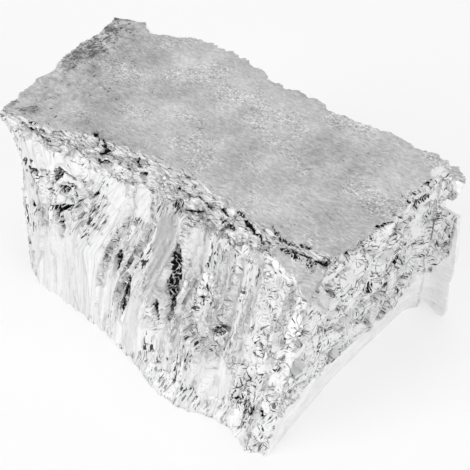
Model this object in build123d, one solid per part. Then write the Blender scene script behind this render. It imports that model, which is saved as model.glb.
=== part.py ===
"""A chunk broken from a cast zinc ingot: a flat cast face on top, coarse fractures on the front, left and
right, a smooth mould wall at the back that runs on past the right end as a fin, and a flat foot."""

import os

from build123d import *

# Driving dimensions, in millimetres. The front is -Y, the right end +X, and the foot lies on z = 0.
TOP_LENGTH = 79.0  # flat top, along its front edge
TOP_WIDTH = 40.0  # flat top, front edge to back edge
HEIGHT = 44.0  # thickness of the cast slab
LEFT_SKEW = 6.8  # how far the top's back left corner lies beyond its front left corner
FRONT_LEAN = 10.0  # how far the foot of the front fracture stands out from the top edge
BACK_LEAN = 6.5  # draft of the mould wall at the back
RIGHT_UNDERCUT = 5.4  # how far the right end leans in towards its foot
LEFT_UNDERCUT = 1.7  # the same at the left end
LEFT_WAIST = 4.9  # depth of the hollow under the left rim
LIP_HEIGHT = 3.5  # thickness of the torn skin along the foot of the front
LIP_REACH = 2.2  # how far that skin stands out
HEEL_REACH = 2.0  # how far the front right corner stands out at its foot
BAND_HEIGHT = 10.0  # smooth cast skin left along the foot of the right end
BAND_HOLLOW = 1.4  # how far that skin curves in between its two ends
FIN_REACH = 6.0  # how far the mould wall runs on past the top's right edge
FIN_THICKNESS = 3.0
FIN_BEVEL = 2.0  # how far the back of the fin's edge falls short of its front
FIN_WEAR = 0.7  # how far the middle of the fin falls short of its lip
FOOT_WEAR = 2.7  # the same near the fin's foot
TIP_WEAR = 4.0  # the same at the very tip of its foot
RIM_WEAR = 2.3  # the same at the underside of the lip
RIM_DEPTH = 6.0  # height of the lip at the top of the fin
NOTCH_HEIGHT = 4.4  # gap torn in the fin under that lip
NOTCH_DEPTH = 4.7
COLUMN_RELIEF = 1.3  # depth of the grooves between the crystal columns of the front
BLOCK_RELIEF = 1.4  # how far the crystal blocks of the two ends stand out or in
BEVEL_DEPTH = 3.0  # height of the slope that cuts the top's front right corner
BEVEL_REACH = 3.2  # how far back that slope reaches
FAN_LEAN = 0.25  # how far the columns left of the middle lean to the right, for each millimetre of height
RELIEF = 1.0  # the depth that the stations below are counted in

# Coarse fracture relief. Each edge runs from its start to its end through stations: the share of the edge
# that lies before the station, how far the top edge stands out there, how far the foot does, and how far
# the face half way up does.
FRONT = (
    (0.00, 4.3, -6.9, 0.0),
    (0.06, 3.9, -4.7, -0.8),
    (0.16, 2.7, -4.4, -1.2),
    (0.25, 1.6, -4.0, 0.9),
    (0.33, -1.1, -3.3, -0.5),
    (0.50, -0.6, -1.3, 1.0),
    (0.55, -0.7, 0.3, 0.6),
    (0.60, -0.9, -1.1, -0.9),
    (0.67, -0.7, 0.2, -0.2),
    (0.75, 0.1, -0.3, 0.8),
    (0.81, 0.4, -2.3, 0.2),
    (0.88, 0.8, -2.6, 0.4),
    (0.93, 1.3, -1.7, -0.4),
    (0.97, 1.6, 2.5, -0.3),
    (1.00, 1.9, 0.1, 0.0),
)
BACK = (
    (0.03, 0.7, 0.0, 0.0),
    (0.12, 1.5, 0.0, 0.0),
    (0.26, -0.2, 0.0, 0.0),
    (0.44, 0.2, 0.0, 0.0),
    (0.53, 1.0, 0.0, 0.0),
    (0.62, 2.8, 0.0, 0.0),
    (0.71, 1.8, 0.0, 0.0),
    (0.78, 1.5, 0.0, 0.0),
    (0.81, -1.0, 0.0, 0.0),
    (0.88, -3.5, 0.0, 0.0),
    (0.92, -1.1, 0.0, 0.0),
    (1.00, -3.7, 0.0, 0.0),
)
LIP_FROM, LIP_TO = 0.58, 0.95  # stretch of the front that has the torn skin
FAN_FROM, FAN_TO = 0.08, 0.68  # stretch of the front whose columns lean
BEVEL_FROM, BEVEL_TO = 0.87, 0.93  # where the bevelled corner begins and where it is full

# Grooves between the columns of the front, half way up: the share of the front that lies before the groove,
# and its depth against the usual one.
GROOVES = (
    (0.030, 0.5),
    (0.085, 0.7),
    (0.148, 1.1),
    (0.210, 0.6),
    (0.268, 0.7),
    (0.326, 1.0),
    (0.367, 0.8),
    (0.405, 1.3),
    (0.450, 0.5),
    (0.490, 0.8),
    (0.586, 1.5),
    (0.630, 0.6),
    (0.689, 0.8),
    (0.740, 1.0),
    (0.790, 0.8),
    (0.835, 0.6),
    (0.888, 0.7),
    (0.942, 0.9),
)
CRESTS = (0.62, 0.35, 0.55, 0.3, 0.7, 0.45)  # place of a column's crest between its grooves, in turn
RIGHT_BLOCKS = 9  # blocks along the right end
LEFT_BLOCKS = 7  # the same along the left end

# Levels of the sections, measured from the foot or down from the top.
RIM_LEVEL = HEIGHT - RIM_DEPTH
BEVEL_LEVEL = HEIGHT - BEVEL_DEPTH
NOTCH_LEVEL = RIM_LEVEL - NOTCH_HEIGHT / 2
WAIST_LEVEL = RIM_LEVEL - NOTCH_HEIGHT
MIDDLE_LEVEL = (BAND_HEIGHT + WAIST_LEVEL) / 2
LOW_LEVEL = (BAND_HEIGHT + MIDDLE_LEVEL) / 2
HIGH_LEVEL = (MIDDLE_LEVEL + WAIST_LEVEL) / 2

# How far the fin falls short of its full reach at each section.
FIN_SHORT = {
    0.0: TIP_WEAR,
    LIP_HEIGHT: FOOT_WEAR,
    BAND_HEIGHT: FOOT_WEAR,
    LOW_LEVEL: (FOOT_WEAR + FIN_WEAR) / 2,
    MIDDLE_LEVEL: FIN_WEAR,
    HIGH_LEVEL: FIN_WEAR,
    WAIST_LEVEL: FIN_WEAR,
    NOTCH_LEVEL: NOTCH_DEPTH,
    RIM_LEVEL: RIM_WEAR,
    BEVEL_LEVEL: RIM_WEAR / 2,
    HEIGHT: 0.0,
}


def mix(start, end, share):
    """The point or number that lies that share of the way from start to end."""
    return start + (end - start) * share


def hump(share):
    """0 at both ends of an edge or a face, 1 half way along."""
    return 4.0 * share * (1.0 - share)


def ramp(low, high, share):
    """0 up to low, 1 from high on, and a straight rise between them."""
    return min(1.0, max(0.0, (share - low) / (high - low)))


def uneven(block, row):
    """A fixed uneven number from -1 to 1 for a crystal block."""
    return ((7 * block * block + 5 * row * row + 3 * block * row + 2 * block) % 11) / 5.0 - 1.0


def left_inset(level):
    """How far the left end lies in from the top's corner: undercut at the foot, deepest at the waist."""
    if level > WAIST_LEVEL:
        return mix(LEFT_WAIST, 0.0, (level - WAIST_LEVEL) / (HEIGHT - WAIST_LEVEL))
    return mix(LEFT_UNDERCUT, LEFT_WAIST, max(0.0, level - BAND_HEIGHT) / (WAIST_LEVEL - BAND_HEIGHT))


def corners(level):
    """Front left, front right, back right and back left corner of a section, before its relief."""
    rise = level / HEIGHT
    front = mix(-TOP_WIDTH / 2 - FRONT_LEAN, -TOP_WIDTH / 2, rise)
    back = mix(TOP_WIDTH / 2 + BACK_LEAN, TOP_WIDTH / 2, rise)
    right = mix(TOP_LENGTH / 2 - RIGHT_UNDERCUT, TOP_LENGTH / 2, rise)
    left = -TOP_LENGTH / 2 + left_inset(level)
    return Vector(left, front), Vector(right, front), Vector(right, back), Vector(left - LEFT_SKEW, back)


def broken_edge(start, end, outward, stations, rise):
    """Points along one side of a section, moved out or in by the relief at each station."""
    points = []
    for share, top_out, foot_out, face_out in stations:
        out = mix(foot_out, top_out, rise) + face_out * hump(rise)
        points.append(mix(start, end, share) + outward * (out * RELIEF))
    return points


def front_relief(share, rise):
    """How far the front stands out between its stations."""
    for before, after in zip(FRONT, FRONT[1:]):
        if share <= after[0]:
            part = (share - before[0]) / (after[0] - before[0])
            top_out, foot_out, face_out = (mix(before[k], after[k], part) for k in (1, 2, 3))
            return mix(foot_out, top_out, rise) + face_out * hump(rise)


def front_points():
    """Grooves and crests of the front's columns: each one's share of the front and how deep it lies."""
    points = [(0.0, 0.0)]
    ends = GROOVES + ((1.0, 0.0),)
    for index, (share, depth) in enumerate(GROOVES):
        crest = mix(share, ends[index + 1][0], CRESTS[index % len(CRESTS)])
        points += [(share, depth), (crest, -0.3 * depth)]
    return points + [(1.0, 0.0)]


def front_edge(start, end, level):
    """The front fracture: columns, the torn skin along its foot, the heel and the bevelled corner."""
    rise = level / HEIGHT
    torn = LIP_REACH * max(0.0, 1.0 - level / LIP_HEIGHT)
    cut = BEVEL_REACH * ramp(BEVEL_LEVEL, HEIGHT, level)
    grooved = COLUMN_RELIEF * (0.3 + 0.7 * hump(rise))
    points = []
    for share, depth in front_points():
        out = front_relief(share, rise) * RELIEF - grooved * depth
        if LIP_FROM < share < LIP_TO:
            out += torn
        out -= cut * ramp(BEVEL_FROM, BEVEL_TO, share)
        lean = FAN_LEAN * max(0.0, level - LOW_LEVEL) * hump(ramp(FAN_FROM, FAN_TO, share))
        points.append(mix(start, end, share) + Vector(lean, -out))
    points[-1] += Vector(HEEL_REACH * (1.0 - rise), 0)
    return points


def blocky_edge(start, end, outward, blocks, level):
    """Points along an end, moved out or in by its crystal blocks, which begin above the smooth band."""
    row = list(FIN_SHORT).index(level)
    rough = BLOCK_RELIEF * ramp(BAND_HEIGHT, LOW_LEVEL, level) * (1.0 - 0.6 * ramp(BEVEL_LEVEL, HEIGHT, level))
    points = []
    for block in range(1, blocks):
        share = (block + 0.3 * uneven(block, 3)) / blocks
        points.append(mix(start, end, share) + outward * (rough * uneven(block, row)))
    return points


def right_edge(start, end, level):
    """The right end, hollowed towards its foot."""
    points = blocky_edge(start, end, Vector(1, 0), RIGHT_BLOCKS, level)
    for index, point in enumerate(points):
        share = (index + 1) / RIGHT_BLOCKS
        points[index] = point + Vector(-BAND_HOLLOW * hump(share) * (1.0 - level / HEIGHT), 0)
    return points


def fin_edge(foot, level):
    """Where the mould wall runs on past the right end."""
    tip = Vector(TOP_LENGTH / 2 + FIN_REACH - FIN_SHORT[level], foot.Y)
    return [foot, tip, tip + Vector(-FIN_BEVEL, FIN_THICKNESS)]


def section(level):
    """The closed outline of the chunk at one level."""
    rise = level / HEIGHT
    front_left, front_right, back_right, back_left = corners(level)
    fin_foot = back_right - Vector(0, FIN_THICKNESS)
    front = front_edge(front_left, front_right, level)
    right = right_edge(front[-1], fin_foot, level)
    ragged = Vector(0, max(0.0, level - RIM_LEVEL) / RIM_DEPTH)
    back = broken_edge(back_right, back_left, ragged, BACK, rise)
    left = blocky_edge(back[-1], front[0], Vector(-1, 0), LEFT_BLOCKS, level)
    outline = front + right + fin_edge(fin_foot, level) + back + left
    return Wire.make_polygon([point + Vector(0, 0, level) for point in outline], close=True)


def zinc_ingot():
    """The chunk as one solid, with its origin at the middle of its foot's box."""
    chunk = Solid.make_loft([section(level) for level in FIN_SHORT], ruled=True)
    box = chunk.bounding_box()
    middle = box.center()
    print("moved by", round(-middle.X, 3), round(-middle.Y, 3))
    return Pos(-middle.X, -middle.Y, -box.min.Z) * chunk


os.makedirs("parts", exist_ok=True)
ingot = zinc_ingot()
export_step(ingot, "parts/zinc_ingot.step")
print("volume", round(ingot.volume), "mm3")
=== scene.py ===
"""Looks of a chunk broken from a cast zinc ingot.

It has a dull cast top, a bright columnar fracture at the front, a granular fracture at each end and smooth
mould skin on the fin, the back and the foot. It stands in a pale studio.
"""

import itertools
import logging
import math
from dataclasses import dataclass
from enum import Enum
from typing import Any, Sequence, TypeAlias

import bpy
import numpy as np
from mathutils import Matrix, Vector


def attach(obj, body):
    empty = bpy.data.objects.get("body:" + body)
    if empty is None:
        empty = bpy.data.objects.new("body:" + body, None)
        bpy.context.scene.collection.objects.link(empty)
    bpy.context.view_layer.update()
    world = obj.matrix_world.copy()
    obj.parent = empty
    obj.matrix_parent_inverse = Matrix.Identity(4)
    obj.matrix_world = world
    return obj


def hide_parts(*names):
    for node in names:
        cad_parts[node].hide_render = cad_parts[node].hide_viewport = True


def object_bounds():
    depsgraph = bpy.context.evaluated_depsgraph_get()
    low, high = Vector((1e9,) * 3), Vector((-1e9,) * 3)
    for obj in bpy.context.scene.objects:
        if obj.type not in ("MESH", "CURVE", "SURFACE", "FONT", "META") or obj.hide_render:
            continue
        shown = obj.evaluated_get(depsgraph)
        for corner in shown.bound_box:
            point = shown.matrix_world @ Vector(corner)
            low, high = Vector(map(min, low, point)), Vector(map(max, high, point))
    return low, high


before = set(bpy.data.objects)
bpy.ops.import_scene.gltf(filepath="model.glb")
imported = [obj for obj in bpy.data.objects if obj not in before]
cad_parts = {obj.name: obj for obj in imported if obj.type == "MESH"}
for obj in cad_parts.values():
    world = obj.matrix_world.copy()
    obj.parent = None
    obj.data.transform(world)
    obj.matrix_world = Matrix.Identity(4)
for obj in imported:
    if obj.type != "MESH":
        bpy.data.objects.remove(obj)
CAD_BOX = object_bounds()

Array: TypeAlias = np.ndarray
Colour: TypeAlias = tuple[float, float, float]
Spot: TypeAlias = tuple[float, float]
Point: TypeAlias = tuple[float, float, float]
Limits: TypeAlias = tuple[float, float, float, float]
Places: TypeAlias = tuple[Array, Array]

LOG = logging.getLogger("zinc_ingot")
MM = 0.001

# What is stored at each point for the material, besides its crack and its grain
SHARES = ("fracture", "skin", "gap", "lumpy", "rim", "calm", "stain", "tone")
# Distance that stands for no crack nearby, in millimetres
NO_CRACK = 2.0
# Heights over which an upward face begins to count as the cast top, in millimetres
TOP_LEVELS = (40.0, 41.5)


# Repeatable randomness

def smooth(low: float, high: float, value: Array) -> Array:
    """Rise smoothly from 0 at low to 1 at high.

    Args:
        low: Where the rise begins.
        high: Where it ends.
        value: Numbers to read against the rise.

    Returns:
        A share from 0 to 1 for each number.
    """
    share = np.clip((value - low) / (high - low), 0.0, 1.0)
    return share * share * (3.0 - 2.0 * share)


def blend(first: Array, second: Array, share: Array) -> Array:
    """Go from first to second by a share."""
    return first + (second - first) * share


def scatter(cell: Sequence[Array], salt: int) -> Array:
    """Give each cell of a grid a number of its own.

    Args:
        cell: The cell's whole-number place along each axis.
        salt: Which of many such numbers is wanted.

    Returns:
        Numbers from 0 to 1 that are the same in every run.
    """
    mixed = np.full(cell[0].shape, (salt * 2654435761 + 97) % 2**32, np.uint32)
    for place in cell:
        mixed ^= place.astype(np.int64).astype(np.uint32)
        mixed *= np.uint32(0x85EBCA6B)
        mixed ^= mixed >> np.uint32(13)
        mixed *= np.uint32(0xC2B2AE35)
        mixed ^= mixed >> np.uint32(16)
    return mixed.astype(np.float64) / 2**32


def noise(places: Sequence[Array], salt: int) -> Array:
    """Make smooth random hills one unit wide.

    Args:
        places: Coordinates of the points, one array for each axis.
        salt: Which of many such fields is wanted.

    Returns:
        Heights from -1 to 1.
    """
    floors = [np.floor(place) for place in places]
    parts = [place - floor for place, floor in zip(places, floors)]
    fades = [part**3 * (part * (part * 6.0 - 15.0) + 10.0) for part in parts]
    total = np.zeros_like(places[0])
    for corner in itertools.product((0, 1), repeat=len(places)):
        weight = np.ones_like(total)
        for step, fade in zip(corner, fades):
            weight *= fade if step else 1.0 - fade
        total += weight * scatter([floor + step for floor, step in zip(floors, corner)], salt)
    return total * 2.0 - 1.0


def rough(places: Sequence[Array], salt: int, octaves: int = 3) -> Array:
    """Add up ever finer noise.

    Args:
        places: Coordinates of the points, one array for each axis.
        salt: Which of many such fields is wanted.
        octaves: How many layers are added, each half as wide and half as high as the last.

    Returns:
        Heights of about -1 to 1.
    """
    total = np.zeros_like(places[0])
    for octave in range(octaves):
        scale = 2.0**octave
        total += noise([place * scale for place in places], salt + 31 * octave) / scale
    return total / 1.4


@dataclass
class Grains:
    """The crystal that each point of a face belongs to.

    Attributes:
        cell: Whole-number place of each point's crystal.
        across: How far the point lies across from the crystal's middle, in crystals.
        along: How far it lies along from there.
        border: How far it lies from the next crystal.
    """

    cell: Places
    across: Array
    along: Array
    border: Array

    def pick(self, salt: int) -> Array:
        """A number from -1 to 1 that is the same all over a crystal."""
        return scatter(self.cell, salt) * 2.0 - 1.0


def split(across: Array, along: Array, salt: int, jitter: float = 0.9) -> Grains:
    """Divide a face into crystals about one unit wide.

    Args:
        across: First coordinate of each point.
        along: Second coordinate of each point.
        salt: Which of many such divisions is wanted.
        jitter: How far from a regular grid the crystals' middles stray.

    Returns:
        The crystal of each point.
    """
    column, row = np.floor(across), np.floor(along)
    nearest = np.full_like(across, 9.0)
    second = np.full_like(across, 9.0)
    best = [column, row, across * 0.0, along * 0.0]
    for step_across, step_along in itertools.product((-1, 0, 1), repeat=2):
        cell = (column + step_across, row + step_along)
        to_across = across - (cell[0] + 0.5 + jitter * (scatter(cell, salt) - 0.5))
        to_along = along - (cell[1] + 0.5 + jitter * (scatter(cell, salt + 1) - 0.5))
        reach = to_across**2 + to_along**2
        closer = reach < nearest
        second = np.where(closer, nearest, np.minimum(second, reach))
        nearest = np.where(closer, reach, nearest)
        best = [np.where(closer, new, old) for new, old in zip((*cell, to_across, to_along), best)]
    border = (np.sqrt(second) - np.sqrt(nearest)) / 2.0
    return Grains((best[0], best[1]), best[2], best[3], border)


@dataclass(frozen=True)
class Cleavage:
    """How crystals of one size break.

    Attributes:
        width: Width of a crystal, in millimetres.
        length: Its length.
        lift: How far its broken face stands out or in.
        slope_across: How steeply the face may slope across the crystal.
        slope_along: How steeply it may slope along it.
        parted: How often it parts from its neighbours, and how dark the painted shade in that parting is.
        salt: Which random division is used.
    """

    width: float
    length: float
    lift: float
    slope_across: float
    slope_along: float
    parted: float
    salt: int

    def relief(self, across: Array, along: Array) -> tuple[Array, Grains]:
        """Work out the broken faces over a side.

        Args:
            across: First coordinate of each point, in millimetres.
            along: Second coordinate, along the crystals.

        Returns:
            The height of each point and the crystals themselves.
        """
        grains = split(across / self.width, along / self.length, self.salt)
        height = self.lift * grains.pick(self.salt + 2)
        height += self.slope_across * grains.pick(self.salt + 3) * grains.across * self.width
        height += self.slope_along * grains.pick(self.salt + 4) * grains.along * self.length
        return height, grains


@dataclass
class Relief:
    """Broken faces over a side.

    Attributes:
        height: How far each point stands out, in millimetres.
        tone: How bright its crystal is, from -1 to 1.
        crevice: How deep it lies in a crevice between crystals, from 0 to 1; deep crevices also get painted
            shade.
    """

    height: Array
    tone: Array
    crevice: Array

    def turned_to(self, other: "Relief", share: Array) -> "Relief":
        """Go over to other broken faces by a share."""
        return Relief(
            blend(self.height, other.height, share),
            blend(self.tone, other.tone, share),
            blend(self.crevice, other.crevice, share),
        )


@dataclass(frozen=True)
class Patch:
    """An oval place on a side.

    Attributes:
        middle: Its middle on the side, in millimetres.
        half: Half its width and half its height.
        lean: How far its top leans over, for each millimetre of height.
        amount: What it stands for there, such as a tone or a depth.
    """

    middle: Spot
    half: Spot
    lean: float = 0.0
    amount: float = 1.0

    def weight(self, across: Array, along: Array, soft: float = 0.35) -> Array:
        """How much each point belongs to the patch.

        Args:
            across: First coordinate of each point on the side.
            along: Second coordinate.
            soft: Share of the patch over which its edge fades.

        Returns:
            1 inside, 0 outside.
        """
        rise = along - self.middle[1]
        over = (across - self.middle[0] - self.lean * rise) / self.half[0]
        reach = np.sqrt(over**2 + (rise / self.half[1]) ** 2)
        return 1.0 - smooth(1.0 - soft, 1.0 + soft, reach)


@dataclass(frozen=True)
class Crack:
    """A crack that runs through some points of a side.

    Attributes:
        spots: The points, in millimetres.
        width: How wide it gapes.
    """

    spots: tuple[Spot, ...]
    width: float

    def reach(self, across: Array, along: Array) -> Array:
        """How far each point lies outside the crack.

        Args:
            across: First coordinate of each point on the side.
            along: Second coordinate.

        Returns:
            Millimetres from the crack's edge, less than 0 inside.
        """
        reach = np.full_like(across, 99.0)
        for start, end in zip(self.spots, self.spots[1:]):
            run = (end[0] - start[0], end[1] - start[1])
            ahead = (across - start[0]) * run[0] + (along - start[1]) * run[1]
            share = np.clip(ahead / (run[0] ** 2 + run[1] ** 2), 0.0, 1.0)
            away = np.hypot(across - start[0] - run[0] * share, along - start[1] - run[1] * share)
            reach = np.minimum(reach, away)
        gape = 0.4 + 0.9 * noise((across / 1.2, along / 1.2), 301)
        return reach - self.width * gape


class Side(Enum):
    """The sides of the chunk, each with the way it faces."""

    FRONT = (0.0, -1.0, 0.0)
    BACK = (0.0, 1.0, 0.0)
    LEFT = (-1.0, 0.0, 0.0)
    RIGHT = (1.0, 0.0, 0.0)
    TOP = (0.0, 0.0, 1.0)
    FOOT = (0.0, 0.0, -1.0)


@dataclass
class Surface:
    """Every point of the chunk's skin while it is being broken, in millimetres.

    Attributes:
        spots: Places of the points.
        facing: How much each point faces each side.
        move: How far each point has been moved so far.
        fracture: Share of bright broken metal.
        skin: Share of smooth mould skin.
        gap: Share of black gap, where the gap is sunk in and its shade is painted near black.
        lumpy: Share of granular crystals, against columns.
        rim: Share of thin flakes along the top's front edge.
        calm: Share of flat places with few lines.
        stain: Share of dark speckled stain.
        tone: Brightness of the crystal, from -1 to 1.
        seam: How far the point lies outside the nearest crack, in millimetres.
        grain: Coordinates that run across, into and along the crystals.
    """

    spots: Array
    facing: dict[Side, Array]
    move: Array
    fracture: Array
    skin: Array
    gap: Array
    lumpy: Array
    rim: Array
    calm: Array
    stain: Array
    tone: Array
    seam: Array
    grain: Array

    @classmethod
    def of(cls, mesh: bpy.types.Mesh) -> "Surface":
        """Read a mesh in metres.

        Args:
            mesh: The unbroken chunk.

        Returns:
            Its surface with nothing broken yet.
        """
        count = len(mesh.vertices)
        spots = np.zeros(count * 3)
        normals = np.zeros(count * 3)
        mesh.vertices.foreach_get("co", spots)
        mesh.vertex_normals.foreach_get("vector", normals)
        spots = spots.reshape(-1, 3) / MM
        normals = normals.reshape(-1, 3)
        facing = {side: smooth(0.4, 0.8, normals @ np.array(side.value)) for side in Side}
        blank = [np.zeros(count) for _ in SHARES]
        return cls(spots, facing, np.zeros_like(spots), *blank, np.full(count, NO_CRACK), spots.copy())

    def push(self, side: Side, height: Array) -> None:
        """Move points the way a side faces.

        Args:
            side: The side.
            height: How far each point moves.
        """
        self.move += np.outer(height, side.value)


# The chunk

# Black gaps of the front, sunk in and painted near black as shade: middle and half size along the length
# and up, lean and chance
FRONT_GAPS = (
    Patch((-6.0, 14.8), (1.4, 5.6), 0.04, 1.15),
    Patch((-9.1, 19.4), (0.55, 3.2), 0.25, 1.25),
    Patch((-12.4, 18.9), (0.55, 2.4), 0.36, 1.35),
    Patch((6.5, 23.4), (0.85, 9.6), 0.05, 1.1),
    Patch((7.4, 15.6), (0.7, 2.4), -0.3, 1.0),
    Patch((3.4, 15.4), (0.45, 2.8), -0.12, 1.1),
    Patch((-24.6, 30.2), (1.5, 0.9), 0.4, 1.0),
    Patch((-22.4, 31.8), (0.9, 0.8), 0.0, 1.0),
    Patch((-25.2, 24.4), (2.2, 1.0), 0.2, 1.0),
    Patch((-21.8, 27.4), (2.2, 0.9), 0.9, 0.75),
    Patch((-33.4, 21.4), (0.9, 1.3), 0.0, 0.9),
    Patch((14.7, 24.0), (1.0, 0.9), 0.0, 0.9),
    Patch((20.2, 20.4), (1.5, 1.0), 0.5, 0.85),
    Patch((34.0, 9.8), (0.6, 1.6), 0.0, 1.0),
    Patch((-4.4, 41.8), (0.9, 0.9), 0.0, 1.6),
    Patch((-31.2, 43.0), (1.5, 1.0), 0.0, 1.7),
    Patch((-27.6, 42.6), (1.4, 0.8), -0.6, 1.5),
    Patch((-12.8, 42.8), (1.6, 1.2), 0.0, 1.3),
    Patch((5.2, 40.0), (1.5, 1.6), 0.0, 0.75),
    Patch((18.0, 42.6), (1.6, 1.2), 0.0, 0.8),
    Patch((28.5, 6.0), (4.0, 4.5), 0.0, 0.45),
    Patch((16.0, 26.0), (5.0, 6.0), 0.0, 0.35),
    Patch((11.0, 39.0), (5.0, 2.0), 0.0, 0.5),
)
# Cracks of the front, along the length and up
FRONT_CRACKS = (
    Crack(((-24.3, 35.0), (-25.2, 32.7), (-26.1, 30.2), (-25.1, 29.1), (-24.2, 29.8)), 0.3),
    Crack(((-27.0, 24.9), (-25.9, 23.6), (-24.3, 24.5), (-20.9, 28.4), (-17.8, 31.5), (-13.8, 35.0)), 0.2),
    Crack(((-26.2, 23.6), (-26.0, 21.0), (-26.3, 17.4), (-26.6, 15.9)), 0.25),
    Crack(((-17.8, 35.8), (-15.1, 36.8)), 0.3),
    Crack(((-32.3, 31.4), (-28.6, 33.6), (-27.1, 32.9)), 0.2),
    Crack(((7.1, 40.4), (9.5, 40.7), (11.8, 39.8), (14.2, 40.4), (17.0, 39.7), (19.6, 40.1)), 0.3),
    Crack(((21.3, 40.4), (22.9, 41.6), (24.4, 41.5)), 0.35),
    Crack(((36.8, 16.5), (38.1, 15.1), (38.1, 13.8)), 0.25),
)
# Flat plates of the front, each with its tone
FRONT_PLATES = (
    Patch((-22.0, 9.5), (12.5, 11.5), 0.3, -0.05),
    Patch((-3.0, 8.0), (5.0, 7.0), 0.1, 0.0),
    Patch((3.4, 27.0), (2.9, 10.5), 0.02, -1.2),
    Patch((11.6, 33.6), (3.0, 4.6), 0.15, -0.05),
    Patch((19.5, 8.5), (4.4, 6.0), 0.0, 0.1),
    Patch((-30.0, 37.0), (4.6, 3.0), 0.0, 0.0),
    Patch((-6.0, 36.0), (6.5, 3.6), 0.0, 0.1),
    Patch((36.8, 20.8), (0.8, 1.9), 0.3, 0.3),
)
# Places of the front that have granules instead of columns
GRANULAR = (
    Patch((15.5, 21.0), (6.0, 9.5)),
    Patch((30.0, 12.0), (7.5, 13.5)),
    Patch((36.0, 24.0), (4.0, 13.0)),
    Patch((-24.0, 30.0), (8.0, 4.5)),
    Patch((14.0, 40.8), (24.0, 2.2)),
    Patch((-20.0, 41.5), (16.0, 2.0)),
)
# Black gaps of painted shade, cracks and plates of the right end, across the width and up
RIGHT_GAPS = (
    Patch((11.0, 26.0), (1.6, 1.2), 0.6, 0.95),
    Patch((3.9, 22.9), (0.9, 1.6), 0.0, 0.95),
    Patch((17.5, 24.0), (0.6, 1.8), 0.0, 0.9),
    Patch((15.0, 39.5), (2.6, 1.2), 0.0, 0.85),
    Patch((6.0, 24.0), (12.0, 5.0), 0.4, 0.3),
    Patch((-14.0, 20.0), (6.0, 8.0), 0.0, 0.3),
)
RIGHT_CRACKS = (
    Crack(((7.9, 23.6), (8.6, 25.2), (10.0, 25.7), (10.9, 26.5)), 0.45),
    Crack(((-8.6, 21.7), (-8.5, 24.2), (-6.8, 23.4)), 0.35),
    Crack(((5.6, 19.6), (5.4, 16.4)), 0.25),
    Crack(((-13.0, 43.4), (-4.0, 43.6), (4.0, 43.3), (11.5, 43.4), (18.0, 43.3)), 0.35),
)
RIGHT_PLATES = (
    Patch((14.6, 34.6), (1.6, 6.5), -0.41, 0.6),
    Patch((-13.6, 34.0), (1.3, 5.5), -0.45, 0.7),
    Patch((-18.3, 32.0), (1.2, 2.2), 0.0, 0.6),
    Patch((0.0, 12.5), (2.2, 3.5), -0.7, 0.5),
    Patch((12.3, 18.5), (1.6, 4.0), -0.4, 0.5),
)
# Cracks of the top's front rim, along the length and across the width
TOP_CRACKS = (
    Crack(
        ((-19.6, -13.7), (-17.4, -14.4), (-15.6, -15.2), (-13.4, -15.4), (-12.2, -16.4), (-11.0, -17.4)),
        0.7,
    ),
    Crack(((-13.4, -15.4), (-14.6, -16.6), (-13.0, -18.2)), 0.9),
    Crack(((-7.6, -13.8), (-6.6, -14.8), (-5.6, -15.4)), 0.2),
    Crack(((8.4, -14.8), (11.0, -15.0), (13.6, -16.1), (15.0, -16.4)), 0.4),
    Crack(((15.2, -14.6), (17.0, -15.8), (18.6, -16.6)), 0.5),
    Crack(((17.2, -13.4), (18.9, -14.0), (20.7, -14.6), (23.1, -15.6), (25.6, -16.4), (27.8, -17.6)), 0.35),
    Crack(((25.5, -13.0), (27.4, -13.9), (29.7, -14.3), (31.7, -13.2), (34.0, -12.6)), 0.2),
    Crack(((30.3, -16.8), (31.5, -15.9), (33.4, -15.2), (34.9, -14.6), (36.8, -14.8), (38.8, -14.2)), 0.55),
    Crack(((37.3, -14.4), (39.1, -13.4), (39.4, -12.5)), 0.3),
    Crack(((-32.8, -19.7), (-31.0, -19.4), (-29.6, -19.9)), 1.3),
    Crack(((-28.2, -19.5), (-26.6, -19.4)), 1.1),
    Crack(((4.0, -15.0), (6.4, -15.4), (8.4, -15.2)), 0.2),
)
# Black gaps of painted shade along the slope at the top's front right corner
BEVEL_GAPS = (
    Patch((32.6, 43.4), (2.0, 0.5), 0.0, 0.7),
    Patch((36.2, 43.3), (2.4, 0.7), 0.0, 0.55),
)
# How far the flakes of the rim reach over the top: place along the length and across the width
CHIP_LINE = (
    (-36.0, -19.4),
    (-30.0, -18.4),
    (-22.0, -15.2),
    (-15.0, -13.4),
    (-7.0, -11.6),
    (2.0, -10.9),
    (10.0, -11.5),
    (17.0, -12.9),
    (28.0, -13.4),
    (40.0, -12.4),
)
# How far down they reach on the front: place along the length and height
SHOULDER_LINE = (
    (-36.0, 41.0),
    (-26.0, 39.8),
    (-15.0, 41.2),
    (-8.0, 39.0),
    (1.0, 40.4),
    (10.0, 38.4),
    (15.0, 38.9),
    (22.0, 41.2),
    (30.0, 42.2),
    (40.0, 42.5),
)
# Upper edge of the smooth band at the foot of the right end: place across the width and height
BAND_LINE = (
    (-28.0, 11.0),
    (-20.8, 9.7),
    (-7.5, 9.6),
    (1.6, 7.2),
    (8.7, 6.0),
    (15.5, 6.2),
    (22.2, 8.4),
    (26.0, 13.0),
)
# The fin's worn edge: height and place along the length
FIN_EDGE = (
    (0.0, 41.2),
    (1.2, 42.2),
    (3.0, 42.8),
    (12.0, 43.2),
    (18.0, 44.3),
    (33.0, 44.4),
    (44.0, 46.5),
)
# The arch under the fin's foot: place along the length and height
FIN_ARCH = (
    (34.0, 1.2),
    (36.6, 2.9),
    (38.5, 1.9),
    (40.5, 0.4),
    (41.6, 0.3),
    (42.6, 1.8),
    (43.4, 4.5),
)
# How far the granules of the right end run on over the fin: height and place along the length
FIN_GRAINS = (
    (13.5, 35.0),
    (16.5, 40.1),
    (21.0, 42.4),
    (26.5, 43.4),
    (34.0, 44.3),
)
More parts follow.
